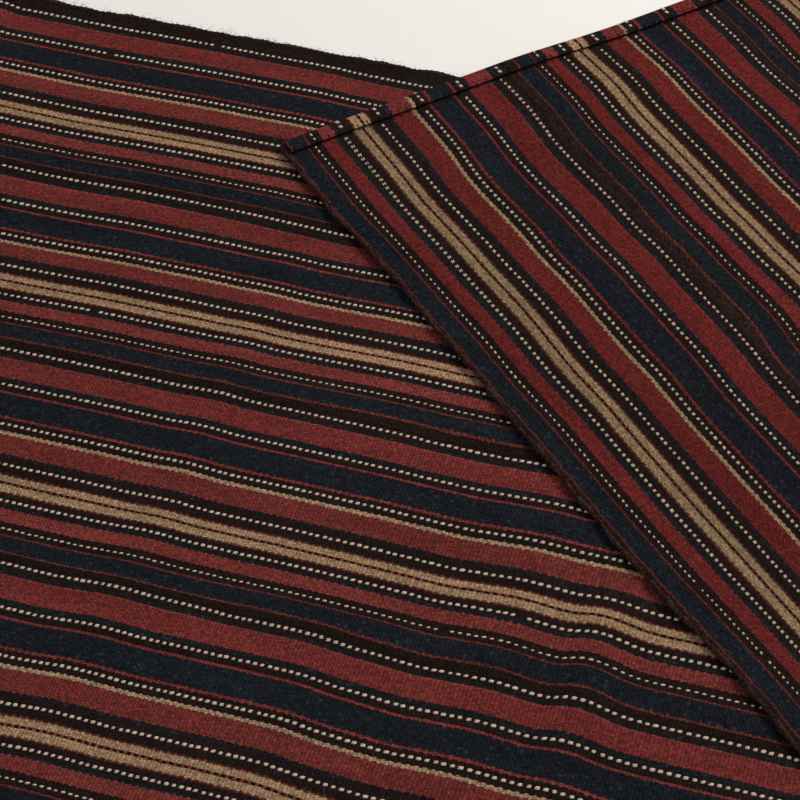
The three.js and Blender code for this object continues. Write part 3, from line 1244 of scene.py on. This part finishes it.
@dataclass
class CreamFloats:
    """The rows of cream floats, each a plump strand that stands proud of the weave over one weft.

    Attributes:
        cloth: the cloth they are woven in.
        face: the wool of the floats on the face.
        back: the same, dimmer, on the back.
        share: length of a float, as a share of two picks.
        wide: width of one strand.
        proud: how far its top stands off the cloth.
        stagger: how far a strand lies ahead of the one beside it, as a share of their spread.
        lean: how far its tips lie aside.
        dim_size: size of the floats on the folded part, against those on the lower layer.
        short: how short the floats of a single row are, on the folded part and elsewhere.
        fat: how fat they are there.
        uneven: how far the floats' places, in picks, and sizes are off.
        smallest: the least size that this leaves.
        largest: the greatest.
        aside: how far a float is off its row, in millimetres.
        own: how far each of its strands is off, in millimetres and as a share of its size.
        edge: how far inside the woven edges the floats keep.
        missing: share of floats that are worn away.
        seed: for the unevenness.
    """

    cloth: FoldedCloth
    face: bpy.types.Material
    back: bpy.types.Material
    share: float = 0.64
    wide: float = 1.2
    proud: float = 0.5
    stagger: float = 0.1
    lean: float = 0.12
    dim_size: float = 0.92
    short: tuple[float, float] = (0.68, 0.8)
    fat: tuple[float, float] = (1.25, 1.15)
    uneven: float = 0.07
    smallest: float = 0.75
    largest: float = 1.2
    aside: float = 0.05
    own: tuple[float, float] = (0.06, 0.05)
    edge: float = 0.5
    missing: float = 0.0015
    seed: int = 11

    def strands(self, part: Part) -> tuple[Array, Array, Array, Array]:
        """Lists the strands on one part.

        Args:
            part: the part.

        Returns:
            Each strand's middle length, middle width, half its length and its size.
        """
        s, weave = self.cloth.sizes, self.cloth.weave
        rng = np.random.default_rng(self.seed)
        folded = part is Part.FOLDED
        found: list[tuple[Array, ...]] = []
        total = int(weave.picks(np.array(s.length + 20.0)) / 2)
        for repeat in range(s.repeats):
            for row in FLOAT_ROWS:
                first = (int(row.across) + repeat) % 2
                beat = 2 * np.arange(total) + first + rng.normal(0, self.uneven, total)
                along = weave.along(beat)
                half = (weave.along(beat + 1) - weave.along(beat - 1)) / 2 * self.share
                charted = repeat * s.repeat + row.across
                size = np.clip(rng.normal(1, self.uneven, total), self.smallest, self.largest)
                size *= self.dim_size if folded else 1.0
                if row.strands == 1:
                    half *= self.short[0 if folded else 1]
                    size *= self.fat[0 if folded else 1]
                missing = rng.random(total) < self.missing
                opening = np.sin(along / 23 + 2 * charted) * np.sin(along / 61 + charted)
                spread = 1 + row.loose * (0.1 + opening)
                line = charted + rng.normal(0, self.aside * (1 + 2 * row.loose), total)
                for strand in range(row.strands):
                    aside = (strand - (row.strands - 1) / 2) * row.spread * spread
                    slide = along + aside * self.stagger + rng.normal(0, self.own[0], total)
                    place = weave.across(slide, line + aside)
                    kept = ~missing & self.cloth.showing(part, slide, place)
                    kept &= (place > self.edge) & (place < s.width - self.edge)
                    lot = size * rng.normal(1, self.own[1], total)
                    found.append((slide[kept], place[kept], (half * lot)[kept], lot[kept]))
        return tuple(np.concatenate(column) for column in zip(*found))

    def build(self, name: str, part: Part) -> bpy.types.Object:
        """Makes one joined mesh of strands: two tips and four rings of three points each.

        Args:
            name: the piece's name.
            part: where they lie.

        Returns:
            The object.
        """
        s = self.cloth.sizes
        middle, width, half, size = self.strands(part)
        spots = np.array([-0.75, -0.3, 0.3, 0.75])
        girth = np.array([0.74, 1.0, 1.0, 0.74])
        along = np.concatenate([[-1], np.repeat(spots, 3), [1]])
        across = np.concatenate([[0], np.outer(girth, [-1, 0, 1]).ravel(), [0]]) * self.wide / 2
        up = np.concatenate([[-0.1], np.outer(girth, [-0.12, self.proud, -0.12]).ravel(), [-0.1]])
        u = middle[:, None] + along * half[:, None]
        v = width[:, None] + (across + self.lean * along) * size[:, None]
        off = part.up * (s.thick / 2 + up * size[:, None])
        points = self.cloth.surface(u, v, off).reshape(-1, 3)
        shape = tube_polygons(4, 3, True)
        shape = shape if part.up > 0 else shape[:, ::-1]
        polygons = repeated(shape, 14, len(middle))
        woven = self.cloth.weave.woven(u, v).reshape(-1, 2)[polygons.ravel()]
        wool = self.face if part.up > 0 else self.back
        return dress(make_mesh(name, points, polygons, woven), wool)


@dataclass
class SelvedgeRoll:
    """The thick brown edge where the wefts turn back: a lumpy roll along each woven edge.

    Attributes:
        cloth: the cloth it edges.
        wool: its material.
        inset: how far its middle lies inside the edge.
        wide: its half-width in the cloth's plane.
        high: its half-height.
        lumps: how far its radius varies from turn to turn of the weft, as a share.
        slower: the same over longer stretches.
        wander: how far its middle wanders.
        short: how far it stops before the hems' own ends.
        step: length between its rings.
        around: corners in a ring.
    """

    cloth: FoldedCloth
    wool: bpy.types.Material
    inset: float = 0.3
    wide: float = 1.5
    high: float = 1.1
    lumps: float = 0.13
    slower: float = 0.17
    wander: float = 0.45
    short: float = 0.6
    step: float = 0.85
    around: int = 8

    def build(self, name: str, far: bool) -> bpy.types.Object:
        """Makes the roll of one woven edge.

        Its radius is 1 plus sines round it and along it: one for each turn of the weft, and slower ones. On
        the side that lies on the floor, or on the other layer, it is kept as flat as the cloth.

        Args:
            name: the piece's name.
            far: True for the far edge.

        Returns:
            The object.
        """
        s, weave = self.cloth.sizes, self.cloth.weave
        start, stop = s.first - s.hem_run + self.short, s.last + s.hem_run - self.short
        along = np.arange(start, stop, self.step)[:, None]
        angle = -2 * np.pi * np.arange(self.around) / self.around
        beat = np.pi * weave.picks(along)
        turns = self.lumps * np.sin(beat + angle) + 0.07 * np.sin(1.5 * beat - 2 * angle + 0.7)
        quick = np.sin(along / 2.7 + 2 * np.sin(along / 13))
        slow = np.sin(along / 6.1 + np.sin(along / 23))
        over = np.maximum(along - s.last, 0) + np.maximum(s.first - along, 0)
        last_ring = (along - start < self.step / 2) | (stop - along < self.step * 1.5)
        thin = (1 - 0.5 * ease(over / 6)) * np.where(last_ring, 0.3, 1)
        size = (1 + turns + self.slower * (quick + slow)) * thin
        edge = s.width - self.inset if far else self.inset
        wander = self.wander * np.sin(along / 9 + 2 * far + 2 * np.sin(along / 41))
        wander += 0.25 * np.sin(along / 4.3)
        u = along + 0 * angle
        v = edge + wander + self.wide * size * np.cos(angle)
        turned = (u < s.first - s.turn) | (u > s.last + s.turn)
        down = np.where(turned == (u > self.cloth.fold_at(v)), -1, 1)
        off = down * np.minimum(down * self.high * size * np.sin(angle), 0.97 * s.thick / 2)
        points = self.cloth.surface(u, v, off).reshape(-1, 3)
        polygons = tube_polygons(len(along), self.around, False)
        woven = weave.woven(u, v).reshape(-1, 2)[polygons.ravel()]
        return dress(make_mesh(name, points, polygons, woven), self.wool)


@dataclass
class HemStitches:
    """Dark thread that holds the turned hem down, in short slanted stitches over its end.

    Attributes:
        cloth: the cloth they hold.
        yarn: the thread's material.
        apart: how far the stitches stand from each other.
        uneven: how far off that they are.
        slant: how far aside a stitch runs.
        thread: radius of the thread.
        reach: how far in from the hem's end a stitch goes, at least and at most.
        arch: how high its middle stands.
        seed: for the unevenness.
    """

    cloth: FoldedCloth
    yarn: bpy.types.Material
    apart: float = 6.4
    uneven: float = 0.9
    slant: float = 1.5
    thread: float = 0.24
    reach: tuple[float, float] = (1.2, 2.2)
    arch: float = 0.55
    seed: int = 5

    def build(self, name: str) -> bpy.types.Object:
        """Makes one joined mesh: each stitch is six rings on half a sine, from hem to cloth.

        Args:
            name: the piece's name.

        Returns:
            The object.
        """
        s = self.cloth.sizes
        rng = np.random.default_rng(self.seed)
        across = np.arange(3.5, s.width - 2, self.apart)
        across = across + rng.normal(0, self.uneven, len(across))
        reach = rng.uniform(*self.reach, len(across))
        sunk = np.full_like(across, s.thick / 2 - 0.1)
        on_hem = self.cloth.surface(s.last + s.hem_run - reach, across, sunk)
        beside_hem = s.length - s.hem - 1.0 - 0.4 * reach
        on_cloth = self.cloth.surface(beside_hem, across + self.slant, -sunk)
        t = np.linspace(0, 1, 6)[None, :, None]
        line = on_hem[:, None] * (1 - t) + on_cloth[:, None] * t
        line = line + np.array([0, 0, self.arch]) * np.sin(np.pi * t)
        ahead = (on_cloth - on_hem) / np.linalg.norm(on_cloth - on_hem, axis=-1, keepdims=True)
        aside = np.cross([0, 0, 1], ahead)
        aside /= np.linalg.norm(aside, axis=-1, keepdims=True)
        above = np.cross(ahead, aside)
        angle = 2 * np.pi * np.arange(5) / 5
        ring = aside[:, None, None] * np.cos(angle)[:, None] + above[:, None, None] * np.sin(angle)[:, None]
        points = (line[:, :, None] + self.thread * ring).reshape(-1, 3)
        shape = tube_polygons(6, 5, False)[:, ::-1]
        polygons = repeated(shape, 30, len(across))
        return dress(make_mesh(name, points, polygons, np.zeros((polygons.size, 2))), self.yarn)


@dataclass
class LooseFibres:
    """Fine wool ends that have worked out of the yarn and lie curled on the cloth, thickest along its edges.

    Attributes:
        cloth: the cloth they have come out of.
        face: the wool of its face.
        back: the wool of its back.
        thick: radius of a fibre at its root.
        frayed: how much thicker it is at the woven edges.
        longest: the longest fibre.
        near_share: share of the roots that lie along the near edge.
        far_share: the same for the far edge.
        clear: how far past the fold the folded part's roots begin, so that none hangs below the floor.
        seed: for the scatter, with the length of a part's name added, so that no two parts are alike.
    """

    cloth: FoldedCloth
    face: bpy.types.Material
    back: bpy.types.Material
    thick: float = 0.055
    frayed: float = 1.7
    longest: float = 7.0
    near_share: float = 0.2
    far_share: float = 0.13
    clear: float = 13.0
    seed: int = 23

    def roots(self, part: Part, count: int) -> tuple[Array, Array]:
        """Scatters roots over a part, a third of them along its woven edges, and keeps those that show.

        Args:
            part: the part.
            count: how many are thrown.

        Returns:
            Lengths and widths of the roots.
        """
        s = self.cloth.sizes
        rng = np.random.default_rng(self.seed + len(part.name))
        along = rng.uniform(s.first, s.last + s.hem_run, count)
        across = rng.uniform(1, s.width - 1, count)
        edge = np.abs(rng.normal(0, 1.6, count)) - 0.6
        lot = rng.random(count)
        far_lot = lot > 1 - self.far_share
        across = np.where(lot < self.near_share, edge, np.where(far_lot, s.width - edge, across))
        shown = self.cloth.showing(part, along, across)
        if part is Part.FOLDED:
            shown &= along > self.cloth.fold_at(across) + self.clear
        return along[shown], across[shown]

    def build(self, name: str, part: Part, count: int) -> bpy.types.Object:
        """Makes one joined mesh: each fibre is a thin tube of four three-sided rings, bent aside and arched.

        Args:
            name: the piece's name.
            part: where they lie.
            count: how many roots are thrown.

        Returns:
            The object.
        """
        s = self.cloth.sizes
        rng = np.random.default_rng(self.seed + 100 + len(part.name))
        root_along, root_across = self.roots(part, count)
        total = len(root_along)
        edge = np.minimum(root_across, s.width - root_across) < 2
        outward = np.where(root_across < s.width / 2, -1, 1) * np.pi / 2
        heading = np.where(edge, outward + rng.normal(0, 0.9, total), rng.uniform(-np.pi, np.pi, total))
        length = np.clip(rng.gamma(4, 0.8, total) + 1, 0, self.longest)
        curl = rng.normal(0, 0.5, total)
        arch = rng.uniform(0.1, 0.75, total)
        t = np.array([0, 0.33, 0.68, 1.0])
        bow = heading[:, None] + curl[:, None] * t
        u = root_along[:, None] + length[:, None] * t * np.cos(bow)
        v = root_across[:, None] + length[:, None] * t * np.sin(bow)
        up = arch[:, None] * np.sin(np.pi * (0.12 + 0.8 * t))
        radius = self.thick * np.where(edge, self.frayed, 1.0)[:, None] * (1 - 0.55 * t)
        spin = np.array([np.pi, np.pi / 2, 0]) if part.up > 0 else np.array([0, np.pi / 2, np.pi])
        u = u[..., None] - (radius * np.sin(bow))[..., None] * np.cos(spin)
        v = v[..., None] + (radius * np.cos(bow))[..., None] * np.cos(spin)
        off = part.up * (s.thick / 2 + up[..., None] + radius[..., None] * np.sin(spin))
        points = self.cloth.surface(u, v, off).reshape(-1, 3)
        shape = tube_polygons(4, 3, False)
        polygons = repeated(shape, 12, total)
        woven = np.repeat(self.cloth.weave.woven(root_along, root_across), shape.size, axis=0)
        wool = self.face if part.up > 0 else self.back
        return dress(make_mesh(name, points, polygons, woven), wool)


@dataclass(frozen=True)
class Studio:
    """The pale floor, the soft lights and the camera at the photograph's place.

    Attributes:
        elevation: how steeply the camera looks down, in degrees.
        heading: how far it is turned from the far direction, in degrees.
        distance: from the camera to its target, in millimetres.
        target: the place on the floor at the middle of the picture, in millimetres.
        sensor: the camera's sensor, in millimetres.
        lens: its focal length, in millimetres.
    """

    elevation: float = 46.0
    heading: float = 16.7
    distance: float = 1215.0
    target: tuple[float, float] = (-123.0, -135.4)
    sensor: float = 36.0
    lens: float = 109.35

    def camera(self) -> None:
        """Stands the camera back from the part of the cloth that the photograph shows."""
        data = bpy.data.cameras.new("camera")
        data.sensor_width = self.sensor
        data.lens = self.lens
        data.clip_start, data.clip_end = 0.05, 20
        camera = bpy.data.objects.new("camera", data)
        bpy.context.scene.collection.objects.link(camera)
        tilt, heading = np.radians(self.elevation), np.radians(self.heading)
        ahead = np.array([-np.sin(heading), np.cos(heading)])
        below = np.array(self.target) - ahead * self.distance * np.cos(tilt)
        place = Vector((*below, self.distance * np.sin(tilt))) * METRE
        look = Vector((*self.target, 0)) * METRE - place
        camera.location = place
        camera.rotation_mode = "QUATERNION"
        camera.rotation_quaternion = look.to_track_quat("-Z", "Y")
        bpy.context.scene.camera = camera

    def light(
        self, name: str, place: tuple[float, float, float], size: float, power: float, colour: str
    ) -> None:
        """Adds a square soft light that faces the cloth.

        Args:
            name: the light's name.
            place: where it stands, in metres.
            size: its side, in metres.
            power: in watts.
            colour: sRGB hex.
        """
        data = bpy.data.lights.new(name, "AREA")
        data.size = size
        data.energy = power
        data.color = linear(colour)[:3]
        lamp = bpy.data.objects.new(name, data)
        lamp.location = place
        lamp.rotation_mode = "QUATERNION"
        lamp.rotation_quaternion = (-Vector(place)).to_track_quat("-Z", "Y")
        bpy.context.scene.collection.objects.link(lamp)

    def floor(self) -> None:
        """Lays a pale matt floor under the cloth."""
        far, down = 4000, -0.05
        points = np.array([[-far, -far, down], [far, -far, down], [far, far, down], [-far, far, down]])
        floor = make_mesh("floor", points, np.array([[0, 1, 2, 3]]), np.zeros((4, 2)))
        material = bpy.data.materials.new("pale_floor")
        material.use_nodes = True
        shader = material.node_tree.nodes["Principled BSDF"]
        shader.inputs["Base Color"].default_value = linear("dddbd7")
        shader.inputs["Roughness"].default_value = 0.8
        floor.data.materials.append(material)

    def build(self) -> None:
        """Sets the view's colours, the air light, the lamps, the floor and the camera."""
        scene = bpy.context.scene
        scene.view_settings.view_transform = "Standard"
        world = bpy.data.worlds.new("studio")
        world.use_nodes = True
        air = world.node_tree.nodes["Background"]
        air.inputs[0].default_value = linear("f6f7fa")
        air.inputs[1].default_value = 0.42
        scene.world = world
        self.light("high_window", (1.1, 1.5, 1.6), size=0.9, power=70, colour="fffaf2")
        self.light("near_fill", (-1.4, -1.2, 1.6), size=1.6, power=8, colour="eef3ff")
        self.floor()
        self.camera()


def main() -> None:
    """Builds the studio, then the cloth and what is woven and sewn into it."""
    sizes = ClothSizes()
    cloth = FoldedCloth(sizes, Weave(sizes))
    Studio().build()

    face_wool = WarpFacedWool("warp_faced_wool_face", Side.FACE)
    back_wool = WarpFacedWool(
        "warp_faced_wool_back", Side.BACK, fuzz=0.04, depth=0.72, rib=0.25, teeth=0.5, twist=1.0
    )
    face = face_wool.build(sizes)
    back = back_wool.build(sizes)
    below = replace(face_wool, name="warp_faced_wool_face_below", dashes=True).build(sizes)
    under = replace(back_wool, name="warp_faced_wool_back_below", dashes=True, fuzz=0.0).build(sizes)
    cream, dim_cream = (
        PlainYarn(name, colour, spread=0.14, grain=1.6).build()
        for name, colour in zip(("cream_handspun_wool", "cream_handspun_wool_back"), Yarn.CREAM.value)
    )
    brown = PlainYarn("brown_selvedge_wool", "35241f", spread=0.8, grain=1.0).build()
    thread = PlainYarn("dark_sewing_thread", "1a1513", spread=0.2, grain=0.8).build()

    sheet = cloth.build("kilim_cloth", face, back, below, under)
    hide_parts(NODE)
    floats = CreamFloats(cloth, cream, dim_cream)
    roll = SelvedgeRoll(cloth, brown)
    fibres = LooseFibres(cloth, face, back)
    trim = [
        floats.build("cream_floats_lower", Part.LOWER),
        floats.build("cream_floats_folded", Part.FOLDED),
        floats.build("cream_floats_hem", Part.HEM),
        roll.build("selvedge_near", far=False),
        roll.build("selvedge_far", far=True),
        HemStitches(cloth, thread).build("hem_stitches"),
        fibres.build("loose_fibres_lower", Part.LOWER, count=6500),
        fibres.build("loose_fibres_folded", Part.FOLDED, count=9000),
    ]
    for piece in (sheet, *trim):
        LOG.info("%s: %d triangles", piece.name, sum(len(p.vertices) - 2 for p in piece.data.polygons))


if __name__ == "__main__":
    logging.basicConfig(level=logging.INFO, format="%(name)s %(message)s")
    main()
